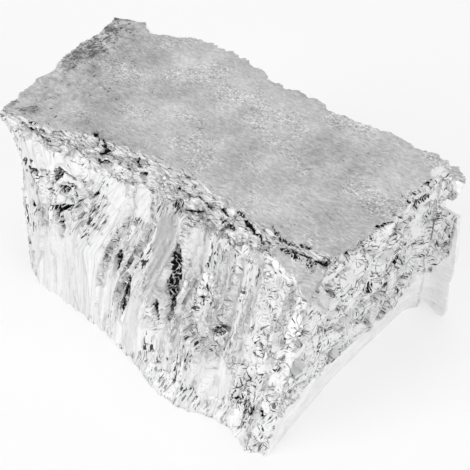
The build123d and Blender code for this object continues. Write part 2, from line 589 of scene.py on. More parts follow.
# Stains of the top, along the length and across the width
STAINS = (
    Patch((-42.4, 11.5), (5.2, 12.5), -0.16, 1.0),
    Patch((-40.0, 0.5), (3.0, 6.0), -0.16, 0.75),
    Patch((-37.0, -16.2), (4.2, 3.6), 0.0, 0.8),
    Patch((-42.0, 17.8), (5.0, 3.4), 0.0, 0.85),
    Patch((-36.0, 0.0), (13.0, 20.0), -0.16, 0.42),
    Patch((-22.0, -14.0), (16.0, 3.5), 0.15, 0.42),
)


def between(limits: Limits, value: Array) -> Array:
    """Rise to 1 and fall back to 0, by the places where the rise and the fall begin and end."""
    return smooth(limits[0], limits[1], value) * (1.0 - smooth(limits[2], limits[3], value))


def on_line(line: Sequence[Spot], along: Array) -> Array:
    """The second coordinate of a line at each value of its first one."""
    return np.interp(along, [spot[0] for spot in line], [spot[1] for spot in line])


def opened(patches: Sequence[Patch], across: Array, along: Array) -> Array:
    """Open places where gaps are torn between the crystals, which are sunk in and painted near black as
    shade.

    Args:
        patches: Where gaps may open, each with its chance as its amount.
        across: First coordinate of each point on the side.
        along: Second coordinate.

    Returns:
        The chance of a gap at each point.
    """
    reach = np.zeros_like(across)
    for patch in patches:
        reach = np.maximum(reach, patch.amount * patch.weight(across, along, 0.5))
    return reach


@dataclass(frozen=True)
class Fin:
    """The mould wall where it runs on past the right end.

    Attributes:
        wall: Where the right end stands at its foot and at the top, along the length.
        face: Where the fin's face stands at its foot and at the top, across the width.
        height: Height of the chunk.
        notch: Lowest and highest point of the notch under the fin's lip.
        notch_end: How far in that notch reaches, along the length.
        fillet: How wide the fillet between the right end and the fin is.
        fill: How far that fillet stands out.
        skin_levels: Heights over which the fillet goes over from mould skin to broken metal.
    """

    wall: Spot = (34.5, 39.9)
    face: Spot = (26.5, 20.0)
    height: float = round(CAD_BOX[1][2] / MM, 3)
    notch: Spot = (34.0, 37.6)
    notch_end: float = 39.8
    fillet: float = 2.0
    fill: float = 0.9
    skin_levels: Spot = (12.6, 13.8)

    def corner(self, level: Array) -> Places:
        """Where the wall and the fin's face meet at a height, along the length and across the width."""
        rise = level / self.height
        return blend(self.wall[0], self.wall[1], rise), blend(self.face[0], self.face[1], rise)

    def share(self, surface: Surface) -> Array:
        """Tell the fin from the rest of the chunk.

        Args:
            surface: The chunk's skin.

        Returns:
            How much each point belongs to the fin.
        """
        x, y, z = surface.spots.T
        wall, face = self.corner(z)
        return smooth(0.3, 1.0, x - wall) * smooth(-0.9, -0.3, y - face)

    def along(self, surface: Surface) -> Array:
        """Run a coordinate across the right end and on along the fin's face.

        Args:
            surface: The chunk's skin.

        Returns:
            The coordinate of each point, in millimetres.
        """
        x, y, z = surface.spots.T
        wall, face = self.corner(z)
        return blend(y, face + x - wall, self.share(surface))

    def grained(self, surface: Surface) -> Array:
        """Let the granules of the right end run on over the fin's face.

        Args:
            surface: The chunk's skin.

        Returns:
            How much each point of the fin's face is still granular.
        """
        x, _, z = surface.spots.T
        edge = on_line(FIN_GRAINS, z) - x + 0.7 * rough((x / 2.0, z / 2.0), 87)
        return self.share(surface) * surface.facing[Side.FRONT] * smooth(-0.4, 0.4, edge)

    def round_corner(self, surface: Surface) -> None:
        """Fill the corner between the right end and the fin.

        Args:
            surface: The chunk's skin.
        """
        x, y, z = surface.spots.T
        wall, face = self.corner(z)
        near = np.exp(-((x - wall) ** 2 + (y - face) ** 2) / self.fillet**2)
        surface.push(Side.RIGHT, self.fill * near)
        surface.push(Side.FRONT, self.fill * near)
        upper = smooth(*self.skin_levels, z)
        close = smooth(0.3, 0.6, near)
        surface.skin = blend(surface.skin, 1.0 - upper, close)
        surface.fracture = blend(surface.fracture, upper, close)
        surface.lumpy = blend(surface.lumpy, upper, close)

    def trimmed(self, surface: Surface, spots: Array) -> Array:
        """Cut the fin's worn edge, the notch under its lip and the arch under its foot.

        Args:
            surface: The chunk's skin before it moved.
            spots: Every point after it moved.

        Returns:
            The points, with the fin's cut to shape.
        """
        x, y, z = spots.T
        share = self.share(surface)
        edge = on_line(FIN_EDGE, z) + 0.3 * rough((y / 1.3, z / 1.3), 111)
        behind = np.maximum(y - self.corner(z)[1], 0.0)
        low = self.notch[0] - 0.9 * behind + 0.3 * rough((x / 1.5, y / 1.5), 113)
        inside = smooth(-0.2, 0.2, z - low) * (1.0 - smooth(-0.2, 0.2, z - self.notch[1]))
        edge = blend(edge, np.minimum(edge, self.notch_end), inside)
        cut = spots.copy()
        cut[:, 0] = blend(x, np.minimum(x, edge), share)
        cut[:, 2] = blend(z, np.maximum(z, on_line(FIN_ARCH, x)), share)
        return cut


@dataclass(frozen=True)
class Bevel:
    """The smooth slope that cuts the top's front right corner.

    Attributes:
        start: Where it begins, along the length.
        foot: Height at which it begins, measured at the pivot.
        edge: Where it ends, across the width.
        pivot: Place along the length where the foot is measured.
        climb: How much lower the foot lies for each millimetre past the pivot.
        tone: Brightness of its skin.
    """

    start: Spot = (28.5, 30.0)
    foot: Spot = (40.9, 41.6)
    edge: Spot = (-15.6, -14.8)
    pivot: float = 33.0
    climb: float = 0.35
    tone: float = -0.6

    def share(self, surface: Surface) -> Array:
        """Tell the slope from the rest of the chunk.

        Args:
            surface: The chunk's skin.

        Returns:
            How much each point belongs to the slope.
        """
        x, y, z = surface.spots.T
        ragged = 0.7 * rough((x / 2.0, (y + z) / 2.0), 143)
        right = smooth(*self.start, x + ragged)
        above = smooth(*self.foot, z + ragged + self.climb * (x - self.pivot))
        return right * above * (1.0 - smooth(*self.edge, y))

    def wear(self, surface: Surface) -> None:
        """Leave the slope smooth and dull, with broken metal under it.

        Args:
            surface: The chunk's skin.
        """
        x, y, z = surface.spots.T
        bevel = self.share(surface)
        around = smooth(27.0, 30.0, x) * smooth(38.0, 41.0, z) * (1.0 - smooth(-16.0, -14.0, y))
        surface.move *= (1.0 - np.maximum(0.85 * bevel, 0.6 * around))[:, None]
        surface.push(Side.TOP, bevel * 0.2 * rough((x / 2.0, y / 2.0), 141))
        for name in ("fracture", "rim", "gap", "lumpy"):
            setattr(surface, name, blend(getattr(surface, name), 0.0, bevel))
        surface.tone = blend(surface.tone, self.tone, bevel)
        surface.gap = np.maximum(surface.gap, bevel * opened(BEVEL_GAPS, x, z))
        under = smooth(27.0, 29.0, x) * (1.0 - smooth(-16.0, -14.0, y)) * (1.0 - smooth(42.6, 43.4, z))
        surface.fracture = np.maximum(surface.fracture, under * (1.0 - bevel))
        surface.lumpy = np.maximum(surface.lumpy, 0.8 * under * (1.0 - bevel))
        worn = 1.0 - smooth(-18.0, -16.5, y)
        surface.seam = blend(surface.seam, NO_CRACK, bevel * worn)


@dataclass
class ZincIngot:
    """The broken chunk.

    Attributes:
        node: The solid that it stands for.
        slot: The record's material slot.
        voxel: Spacing of the points while it is broken, in millimetres.
        triangles: Most triangles that the finished mesh may have.
        sharp: Edges bent by more than this stay crisp, in degrees.
        gap_depth: Depth of a black gap, in millimetres.
        crevice_depth: Depth of a crevice between two crystals.
        crevice_chance: Chance that such a crevice is painted near black, as painted shade, like a gap.
        crack_depth: Depth of a crack in the front or the right end.
        rim_crack_depth: Depth of a crack in the top's rim.
        left_shift: Shifts the left end's crystals, so that they differ from the right end's.
        fan_reach: Where the columns of the front fan out, along the length.
        fan_level: Height from which they lean.
        fan_lean: How far they lean there, for each millimetre of height.
        lip_reach: Where the torn skin is rolled out at the front's foot, along the length.
        fin: The fin at its back right corner.
        bevel: The slope at its front right corner.
        columns: Crystals of the front.
        granules: Crystals of the ends.
        flakes: Crystals of the chipped rim.
    """

    node: str = "zinc_ingot"
    slot: str = "zinc"
    voxel: float = 0.25
    triangles: int = 196_000
    sharp: float = 38.0
    gap_depth: float = 1.1
    crevice_depth: float = 0.3
    crevice_chance: float = 0.3
    crack_depth: float = 1.2
    rim_crack_depth: float = 0.8
    left_shift: float = 137.0
    fan_reach: Limits = (-28.0, -16.0, 0.0, 6.0)
    fan_level: float = 18.0
    fan_lean: float = 0.5
    lip_reach: Limits = (3.0, 7.0, 26.0, 29.0)
    fin: Fin = Fin()
    bevel: Bevel = Bevel()
    columns: tuple[Cleavage, ...] = (
        Cleavage(2.6, 17.0, 0.26, 0.22, 0.03, 0.4, 23),
        Cleavage(1.1, 9.0, 0.12, 0.20, 0.05, 0.0, 37),
    )
    granules: tuple[Cleavage, ...] = (
        Cleavage(5.2, 6.2, 0.50, 0.24, 0.22, 0.7, 51),
        Cleavage(2.6, 3.3, 0.28, 0.22, 0.22, 0.45, 67),
    )
    flakes: tuple[Cleavage, ...] = (
        Cleavage(5.0, 2.6, 0.30, 0.12, 0.14, 0.6, 151),
        Cleavage(2.0, 1.3, 0.16, 0.16, 0.18, 0.4, 163),
    )

    def blank(self) -> bpy.types.Mesh:
        """Cover the solid with an even net of points.

        Returns:
            The unbroken chunk's mesh, in metres.
        """
        shell = bpy.data.objects.new("chunk_blank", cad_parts[self.node].data.copy())
        bpy.context.scene.collection.objects.link(shell)
        net = shell.modifiers.new("net", "REMESH")
        net.mode = "VOXEL"
        net.voxel_size = self.voxel * MM
        mesh = self.evaluated(shell)
        bpy.data.objects.remove(shell)
        return mesh

    @staticmethod
    def evaluated(thing: bpy.types.Object) -> bpy.types.Mesh:
        """The mesh of an object with its modifiers applied."""
        return bpy.data.meshes.new_from_object(thing.evaluated_get(bpy.context.evaluated_depsgraph_get()))

    @staticmethod
    def pile(sizes: Sequence[Cleavage], across: Array, along: Array) -> Relief:
        """Break a side into crystals of several sizes.

        Args:
            sizes: The crystals, largest first.
            across: First coordinate of each point.
            along: Second coordinate.

        Returns:
            The broken faces.
        """
        relief = Relief(np.zeros_like(across), np.zeros_like(across), np.zeros_like(across))
        for size in sizes:
            step, grains = size.relief(across, along)
            relief.height += step
            relief.tone += grains.pick(size.salt + 5) * size.lift
            near = 1.0 - smooth(0.06, 0.24, grains.border * size.width)
            parted = smooth(-0.05, 0.3, noise((across / 2.2, along / 2.6), size.salt + 6))
            relief.crevice = np.maximum(relief.crevice, near * parted * size.parted)
        relief.tone *= 0.15 / sum(size.lift for size in sizes)
        return relief

    @staticmethod
    def flattened(
        broken: Relief, plates: Sequence[Patch], across: Array, along: Array
    ) -> tuple[Relief, Array]:
        """Lay flat plates of one tone into broken faces.

        Args:
            broken: The broken faces.
            plates: The plates, each with its tone as its amount.
            across: First coordinate of each point on the side.
            along: Second coordinate.

        Returns:
            The faces with the plates in them, and how much each point lies on a plate.
        """
        calm = np.zeros_like(across)
        for patch in plates:
            edge = 0.25 * rough((across / 1.6, along / 4.0), 13)
            flat = smooth(0.3, 0.6, patch.weight(across, along) + edge)
            plate = Relief(0.25 * broken.height, patch.amount + 0.1 * broken.tone, 0.15 * broken.crevice)
            broken = broken.turned_to(plate, flat)
            calm = np.maximum(calm, flat)
        return broken, calm

    def break_front(self, surface: Surface) -> None:
        """Break the front into fanned columns, granular places, flat plates and black gaps.

        Args:
            surface: The chunk's skin.
        """
        x, _, z = surface.spots.T
        lean = self.fan_lean * np.maximum(z - self.fan_level, 0.0) * between(self.fan_reach, x)
        across = x - lean + 0.3 * noise((x / 8.0, z / 20.0), 3)
        along = z + 1.5 * noise((x / 4.0, z / 9.0), 5)
        broken = self.pile(self.columns, across, along)
        stray = 0.7 * noise((x / 3.0, z / 3.0), 7)
        lumps = self.pile(self.granules, x + stray, z + stray)
        granular = np.zeros_like(x)
        for patch in GRANULAR:
            granular = np.maximum(granular, patch.weight(x, z))
        granular = smooth(0.3, 0.7, granular + 0.3 * rough((x / 3.0, z / 3.0), 9))
        broken, calm = self.flattened(broken.turned_to(lumps, granular), FRONT_PLATES, x, z)
        face = surface.facing[Side.FRONT] * (1.0 - self.fin.share(surface))
        calm = np.maximum(calm, self.roll_lip(surface, broken, face))
        self.apply(surface, Side.FRONT, broken, face, opened(FRONT_GAPS, x, z))
        self.crack(surface, Side.FRONT, FRONT_CRACKS, (x, z), self.crack_depth)
        surface.lumpy = blend(surface.lumpy, granular, face)
        surface.calm = np.maximum(surface.calm, calm * face)
        surface.grain[:, 0] = blend(surface.grain[:, 0], across, face)

    def roll_lip(self, surface: Surface, broken: Relief, face: Array) -> Array:
        """Roll out the torn skin along the foot of the front, with a crease above it.

        Args:
            surface: The chunk's skin.
            broken: The front's broken faces, which are smoothed where the skin is rolled.
            face: How much each point belongs to the front.

        Returns:
            How calm each point is there.
        """
        x, _, z = surface.spots.T
        lip = between(self.lip_reach, x)
        rolled = lip * (1.0 - smooth(1.6, 3.2, z + 0.5 * noise((x / 2.0, z / 2.0), 15)))
        broken.height = broken.height * (1.0 - 0.8 * rolled)
        broken.tone = broken.tone - 0.3 * rolled
        roll = 0.5 * np.exp(-(((z - 0.9) / 0.9) ** 2)) * (1.0 + 0.8 * rough((x / 2.5, z / 2.5), 21))
        crease = np.exp(-(((z - 2.7 - 0.6 * noise((x / 3.0, z * 0.0), 23)) / 0.4) ** 2))
        surface.push(Side.FRONT, face * lip * (roll - 0.6 * crease))
        # The crease above the lip gets painted shade through the gap share
        surface.gap = np.maximum(surface.gap, 0.32 * face * lip * crease)
        return 0.4 * rolled

    def apply(self, surface: Surface, side: Side, broken: Relief, share: Array, gap: Array) -> None:
        """Give a side its broken faces.

        Args:
            surface: The chunk's skin.
            side: Which side is broken.
            broken: The broken faces.
            share: How much each point is broken.
            gap: Gaps, which are sunk in and painted near black as shade.
        """
        # Gaps and deep crevices are sunk in, and get painted shade through the gap share
        depth = self.gap_depth * gap + self.crevice_depth * broken.crevice
        chance = np.maximum(gap, self.crevice_chance * broken.crevice)
        surface.push(side, share * (broken.height - depth))
        surface.gap = np.maximum(surface.gap, share * chance)
        surface.tone = blend(surface.tone, broken.tone, share)
        surface.fracture = np.maximum(surface.fracture, share)

    @staticmethod
    def crack(surface: Surface, side: Side, cracks: Sequence[Crack], spot: Places, deep: float) -> None:
        """Crack a side.

        Args:
            surface: The chunk's skin.
            side: Which side is cracked.
            cracks: Its cracks.
            spot: Each point's place on the side.
            deep: How deep the cracks are, in millimetres.
        """
        wander = 0.5 * rough((spot[0] / 1.3, spot[1] / 1.3), 19)
        seam = np.full_like(spot[0], NO_CRACK)
        for crack in cracks:
            seam = np.minimum(seam, np.abs(crack.reach(*spot) + wander) - 0.12)
            seam = np.minimum(seam, crack.reach(*spot) + np.abs(wander))
        share = surface.facing[side]
        if side is Side.TOP:
            share = share * smooth(*TOP_LEVELS, surface.spots[:, 2])
        surface.push(side, -deep * share * (1.0 - smooth(-0.1, 0.35, seam)))
        surface.seam = np.minimum(surface.seam, blend(NO_CRACK, seam, smooth(0.2, 0.5, share)))

    def granular(self, across: Array, along: Array) -> Relief:
        """Break an end into granules.

        Args:
            across: First coordinate of each point.
            along: Second coordinate.

        Returns:
            The broken faces.
        """
        stray = 0.8 * noise((across / 3.0, along / 3.0), 27)
        return self.pile(self.granules, across + stray + 0.35 * along, along + stray)

    def break_end(self, surface: Surface, side: Side, shift: float, gaps: Sequence[Patch]) -> None:
        """Break the left or the right end into granules.

        Args:
            surface: The chunk's skin.
            side: Which end.
            shift: Shifts the crystals, so that the two ends differ.
            gaps: Gaps of this end, sunk in and painted near black as shade.
        """
        _, y, z = surface.spots.T
        broken = self.granular(self.fin.along(surface) + shift, z)
        share = surface.facing[side] * (1.0 - self.fin.share(surface))
        gap = opened(gaps, y, z)
        if side is Side.RIGHT:
            broken, calm = self.flattened(broken, RIGHT_PLATES, y, z)
            surface.calm = np.maximum(surface.calm, calm * share)
            share = share * smooth(-0.4, 0.4, z - self.band_top(surface))
        else:
            share = share * (1.0 - 0.85 * smooth(38.5, 41.5, z))
        self.apply(surface, side, broken, share, gap)
        if side is Side.RIGHT:
            self.crack(surface, side, RIGHT_CRACKS, (y, z), self.crack_depth)
        surface.lumpy = blend(surface.lumpy, 1.0, share)
        surface.grain[:, 0] = blend(surface.grain[:, 0], y, share)

    @staticmethod
    def band_top(surface: Surface) -> Array:
        """Height of the smooth band's upper edge along the right end."""
        y, z = surface.spots[:, 1], surface.spots[:, 2]
        return on_line(BAND_LINE, y) + 1.1 * rough((y / 2.6, z / 6.0), 43)

    def chip_rim(self, surface: Surface) -> None:
        """Flake the top's front rim, down to its shoulder on the front, and crack it.

        Args:
            surface: The chunk's skin.
        """
        x, y, z = surface.spots.T
        line = on_line(CHIP_LINE, x)
        foot = on_line(SHOULDER_LINE, x)
        ragged = 0.9 * rough((x / 2.2, (y + z) / 2.2), 61)
        top = surface.facing[Side.TOP] * smooth(*TOP_LEVELS, z)
        front = surface.facing[Side.FRONT] * (1.0 - self.fin.share(surface))
        inside = np.maximum(line - y, 0.0) * top
        upper = top * smooth(-0.6, 1.2, line - y + ragged)
        rim = np.maximum(upper, front * smooth(-0.5, 0.5, z - foot + ragged))
        broken = self.pile(self.flakes, x, y - z)
        drop = 0.12 * inside + upper * (0.15 + 0.2 * noise((x / 4.0, y / 3.0), 63) - 0.8 * broken.height)
        surface.push(Side.TOP, -top * np.maximum(drop, 0.0))
        # Painted shade in the crevices between the rim's flakes, through the gap share
        surface.gap = np.maximum(surface.gap * (1.0 - 0.3 * rim), 0.4 * rim * broken.crevice)
        surface.tone = blend(surface.tone, broken.tone, rim)
        surface.rim = rim
        self.crack(surface, Side.TOP, TOP_CRACKS, (x, y), self.rim_crack_depth)

    @staticmethod
    def weather_top(surface: Surface) -> None:
        """Give the cast top its slight waves and its stained left edge.

        Args:
            surface: The chunk's skin.
        """
        x, y, _ = surface.spots.T
        top = surface.facing[Side.TOP]
        waves = 0.14 * rough((x / 14.0, y / 14.0), 81) + 0.05 * rough((x / 1.6, y / 1.6), 83)
        surface.push(Side.TOP, top * (waves - 0.12))
        for patch in STAINS:
            surface.stain = np.maximum(surface.stain, top * patch.amount * patch.weight(x, y, 0.6))

    def smooth_skin(self, surface: Surface) -> None:
        """Mark the mould skin, with the faint ripples of its casting.

        Args:
            surface: The chunk's skin.
        """
        x, y, z = surface.spots.T
        band = surface.facing[Side.RIGHT] * (1.0 - smooth(-0.4, 0.4, z - self.band_top(surface)))
        fin = self.fin.share(surface) * (1.0 - surface.facing[Side.TOP])
        granular = self.fin.grained(surface)
        granules = self.granular(self.fin.along(surface), z)
        self.apply(surface, Side.FRONT, granules, granular, np.zeros_like(x))
        surface.lumpy = blend(surface.lumpy, 1.0, granular)
        fin = fin * (1.0 - granular)
        back = surface.facing[Side.BACK]
        foot = surface.facing[Side.FOOT] * (1.0 - smooth(2.0, 4.0, z))
        skin = np.maximum.reduce([band, fin, back, foot])
        ripple = 0.10 * rough((x / 9.0, z / 3.0), 91) + 0.05 * rough((x / 2.0, z / 2.0), 93)
        surface.push(Side.BACK, back * ripple)
        surface.push(Side.RIGHT, band * (0.16 * rough((y / 7.0, z / 4.0), 95)))
        surface.push(Side.FRONT, fin * surface.facing[Side.FRONT] * 0.2 * rough((x / 2.5, z / 5.0), 97))
        surface.skin = np.maximum(surface.skin, skin)
        surface.gap = surface.gap * (1.0 - skin)
        # Under the top, whatever has no mould skin is broken metal
        below = 1.0 - smooth(38.0, 39.5, z)
        surface.fracture = np.maximum(np.maximum(surface.fracture, below) * (1.0 - skin), granular)
        self.fin.round_corner(surface)

    @staticmethod
    def ragged_outline(surface: Surface) -> None:
        """Nibble the edges of the top.

        Args:
            surface: The chunk's skin.
        """
        x, y, z = surface.spots.T
        high = smooth(41.0, 43.5, z)
        nibbled = 0.7 * rough((x / 1.4, x * 0.0), 103) + 0.8 * noise((x / 4.5, x * 0.0), 109)
        surface.push(Side.BACK, high * smooth(19.0, 22.0, y) * nibbled)
        # The top's left edge slants
        from_left = x + 39.0 + 0.168 * (y + 18.0)
        left = 1.0 - smooth(2.0, 5.0, from_left)
        surface.push(Side.LEFT, high * left * 0.4 * rough((y / 1.6, y * 0.0), 105))
        from_front = y + 17.5
        front = 1.0 - smooth(1.0, 4.0, from_front)
        surface.push(Side.FRONT, high * front * 0.5 * rough((x / 1.3, x * 0.0), 107))

    def broken(self) -> bpy.types.Mesh:
        """Break the blank into the finished chunk.

        Returns:
            The finished mesh, with what the material reads stored at its points.
        """
        mesh = self.blank()
        surface = Surface.of(mesh)
        self.break_front(surface)
        self.break_end(surface, Side.RIGHT, 0.0, RIGHT_GAPS)
        self.break_end(surface, Side.LEFT, self.left_shift, ())
        self.chip_rim(surface)
        self.bevel.wear(surface)
        self.weather_top(surface)
        self.smooth_skin(surface)
        self.ragged_outline(surface)
        spots = surface.spots + surface.move
        # The foot stays flat on the floor
        flat = (surface.facing[Side.FOOT] > 0.5) & (surface.spots[:, 2] < 1.0)
        spots[:, 2] = np.where(flat, 0.0, np.maximum(spots[:, 2], 0.0))
        spots = self.fin.trimmed(surface, spots)
        mesh.vertices.foreach_set("co", (spots * MM).astype(np.float32).ravel())
        for name in (*SHARES, "seam"):
            layer = mesh.attributes.new(name, "FLOAT", "POINT")
            layer.data.foreach_set("value", getattr(surface, name).astype(np.float32))
        layer = mesh.attributes.new("grain", "FLOAT_VECTOR", "POINT")
        layer.data.foreach_set("vector", surface.grain.astype(np.float32).ravel())
        mesh.update()
        return self.thinned(mesh)

    def thinned(self, mesh: bpy.types.Mesh) -> bpy.types.Mesh:
        """Thin a mesh to the triangles that it may have.

        Args:
            mesh: The broken chunk with far too many points.

        Returns:
            The same shape with fewer.
        """
        dense = bpy.data.objects.new("chunk_dense", mesh)
        bpy.context.scene.collection.objects.link(dense)
        mesh.calc_loop_triangles()
        fewer = dense.modifiers.new("fewer", "DECIMATE")
        fewer.ratio = min(1.0, self.triangles / len(mesh.loop_triangles))
        thin = self.evaluated(dense)
        bpy.data.objects.remove(dense)
        return thin

    def build(self, finish: bpy.types.Material) -> bpy.types.Object:
        """Make the chunk, dress it and tie it to the frame.

        Args:
            finish: The zinc material.

        Returns:
            The finished piece.
        """
        mesh = self.broken()
        mesh.name = "broken_zinc"
        mesh.materials.clear()
        mesh.materials.append(finish)
        mesh.shade_smooth()
        mesh.set_sharp_from_angle(angle=math.radians(self.sharp))
        piece = bpy.data.objects.new("broken_zinc", mesh)
        bpy.context.scene.collection.objects.link(piece)
        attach(piece, "root")
        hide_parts(self.node)
        return piece


# Materials

def socket_named(sockets: Any, name: str) -> bpy.types.NodeSocket:
    """Find a socket of a node.

    Args:
        sockets: The node's inputs or its outputs.
        name: The socket's identifier, or else its name.

    Returns:
        The socket.
    """
    for socket in sockets:
        if socket.identifier == name:
            return socket
    return sockets[name]


class Value:
    """A number in a node tree, with Python's arithmetic."""

    def __init__(self, graph: "Graph", socket: bpy.types.NodeSocket) -> None:
        """Keep the socket that gives the number."""
        self.graph = graph
        self.socket = socket

    def reckon(self, operation: str, *others: Any, swap: bool = False) -> "Value":
        """Add a Math node.

        Args:
            operation: The node's operation.
            others: Its other inputs.
            swap: Whether this value comes second.

        Returns:
            The result.
        """
        inputs = [self, *others]
        if swap:
            inputs = [others[0], self]
        names = ("Value", "Value_001", "Value_002")
        return self.graph.add("ShaderNodeMath", {"operation": operation}, dict(zip(names, inputs)))["Value"]

    def __add__(self, other: Any) -> "Value":
        """Add."""
        return self.reckon("ADD", other)

    def __radd__(self, other: Any) -> "Value":
        """Add to a number."""
        return self.reckon("ADD", other)

    def __sub__(self, other: Any) -> "Value":
        """Take away."""
        return self.reckon("SUBTRACT", other)

    def __rsub__(self, other: Any) -> "Value":
        """Take from a number."""
        return self.reckon("SUBTRACT", other, swap=True)

    def __mul__(self, other: Any) -> "Value":
        """Multiply."""
        return self.reckon("MULTIPLY", other)

    def __rmul__(self, other: Any) -> "Value":
        """Multiply a number."""
        return self.reckon("MULTIPLY", other)

    def rise(self, low: float, high: float) -> "Value":
        """Rise smoothly from 0 at low to 1 at high.

        Args:
            low: Where the rise begins.
            high: Where it ends.

        Returns:
            A share from 0 to 1.
        """
        settings = {"interpolation_type": "SMOOTHSTEP", "clamp": True}
        inputs = {"Value": self, "From Min": low, "From Max": high}
        return self.graph.add("ShaderNodeMapRange", settings, inputs)["Result"]

    def near(self, level: float, width: float) -> "Value":
        """Draw thin lines where the value passes a level.

        Args:
            level: The level.
            width: How far from it a line ends.

        Returns:
            1 on a line, 0 elsewhere.
        """
        return 1.0 - (self - level).reckon("ABSOLUTE").rise(0.35 * width, width)

    def most(self, other: Any) -> "Value":
        """The greater of two values."""
        return self.reckon("MAXIMUM", other)

    def least(self, other: Any) -> "Value":
        """The lesser of two values."""
        return self.reckon("MINIMUM", other)


class Outputs:
    """The outputs of a node by name."""

    def __init__(self, graph: "Graph", node: bpy.types.Node) -> None:
        """Keep the node."""
        self.graph = graph
        self.node = node

    def __getitem__(self, name: str) -> Value:
        """One output, by its identifier or its name."""
        return Value(self.graph, socket_named(self.node.outputs, name))


@dataclass(frozen=True)
class Crystals:
    """Angular crystals that fill space.

    Attributes:
        border: 1 on the thin lines between them.
        shade: A number from 0 to 1 for each crystal.
        turn: Another such number.
    """

    border: Value
    shade: Value
    turn: Value


class Graph:
    """A node tree that is written from code."""

    def __init__(self, tree: bpy.types.NodeTree) -> None:
        """Take over a tree and empty it."""
        self.tree = tree
        tree.nodes.clear()

    def add(self, kind: str, settings: dict[str, Any], inputs: dict[str, Any]) -> Outputs:
        """Add a node.

        Args:
            kind: The node's type.
            settings: Its settings, set first; "stops" are a ramp's places and colours.
            inputs: Numbers, colours or links of its sockets, by identifier or name.

        Returns:
            The node's outputs.
        """
        node = self.tree.nodes.new(kind)
        for name, setting in settings.items():
            if name == "stops":
                self.set_stops(node, setting)
            else:
                setattr(node, name, setting)
        for name, entry in inputs.items():
            socket = socket_named(node.inputs, name)
            if isinstance(entry, Value):
                self.tree.links.new(entry.socket, socket)
            elif isinstance(entry, tuple) and len(entry) == 3 and socket.type == "RGBA":
                socket.default_value = (*entry, 1.0)
            else:
                socket.default_value = entry
        return Outputs(self, node)

    @staticmethod
    def set_stops(node: bpy.types.Node, stops: Sequence[tuple[float, Colour]]) -> None:
        """Give a colour ramp its stops.

        Args:
            node: The ramp.
            stops: Place and colour of each stop, in order.
        """
        elements = node.color_ramp.elements
        while len(elements) < len(stops):
            elements.new(1.0)
        for element, (place, colour) in zip(elements, stops):
            element.position = place
            element.color = (*colour, 1.0)

    def stored(self, name: str) -> Value:
        """A number stored at the mesh's points."""
        return self.add("ShaderNodeAttribute", {"attribute_name": name}, {})["Fac"]

    def scaled(self, vector: Value, *scale: float) -> Value:
        """A vector multiplied axis by axis, or by one number."""
        inputs = {"Vector": vector, "Vector_001": scale * (3 // len(scale))}
        return self.add("ShaderNodeVectorMath", {"operation": "MULTIPLY"}, inputs)["Vector"]

    def strayed(self, vector: Value, scale: float, amount: float) -> Value:
        """A vector that wanders a little from place to place.

        Args:
            vector: The vector.
            scale: How often it wanders to and fro over one unit.
            amount: How far it wanders.

        Returns:
            The wandering vector.
        """
        inputs = {"Vector": vector, "Scale": scale, "Detail": 2.0}
        sway = self.add("ShaderNodeTexNoise", {}, inputs)["Color"]
        inputs = {"Vector": sway, "Vector_001": (amount, amount, amount), "Vector_002": vector}
        return self.add("ShaderNodeVectorMath", {"operation": "MULTIPLY_ADD"}, inputs)["Vector"]

    def crystals(self, vector: Value, width: float) -> Crystals:
        """Split space into angular crystals about one unit wide.

        Args:
            vector: Coordinates.
            width: How wide the line between two crystals is.

        Returns:
            The crystals.
        """
        settings = {"feature": "DISTANCE_TO_EDGE"}
        edge = self.add("ShaderNodeTexVoronoi", settings, {"Vector": vector, "Scale": 1.0})["Distance"]
        pick = self.add("ShaderNodeTexVoronoi", {}, {"Vector": vector, "Scale": 1.0})["Color"]
        picks = self.add("ShaderNodeSeparateColor", {}, {"Color": pick})
        return Crystals(1.0 - edge.rise(0.4 * width, width), picks["Red"], picks["Green"])

    def turned(self, vector: Value, crystals: Crystals) -> Value:
        """A vector that is turned about its second axis, another way in each crystal."""
        inputs = {"Vector": vector, "Angle": math.tau * crystals.turn}
        return self.add("ShaderNodeVectorRotate", {"rotation_type": "Y_AXIS"}, inputs)["Vector"]

    def mottle(self, vector: Value, detail: float, roughness: float = 0.5) -> Value:
        """A noise pattern.

        Args:
            vector: Coordinates in which the pattern is one unit wide.
            detail: How many finer layers it has.
            roughness: How strong they are.

        Returns:
            A number around 0.5.
        """
        inputs = {"Vector": vector, "Scale": 1.0, "Detail": detail, "Roughness": roughness}
        return self.add("ShaderNodeTexNoise", {}, inputs)["Fac"]

    def mix(self, share: Value, first: Any, second: Any) -> Value:
        """Blend two colours.

        Args:
            share: How much of the second shows.
            first: A colour or a link to one.
            second: Another.

        Returns:
            The blended colour.
        """
        inputs = {"Factor_Float": share, "A_Color": first, "B_Color": second}
        return self.add("ShaderNodeMix", {"data_type": "RGBA"}, inputs)["Result_Color"]

    def shade(self, colour: Any, amount: Value) -> Value:
        """Multiply a colour by a number."""
        inputs = {"Vector": colour, "Scale": amount}
        return self.add("ShaderNodeVectorMath", {"operation": "SCALE"}, inputs)["Vector"]


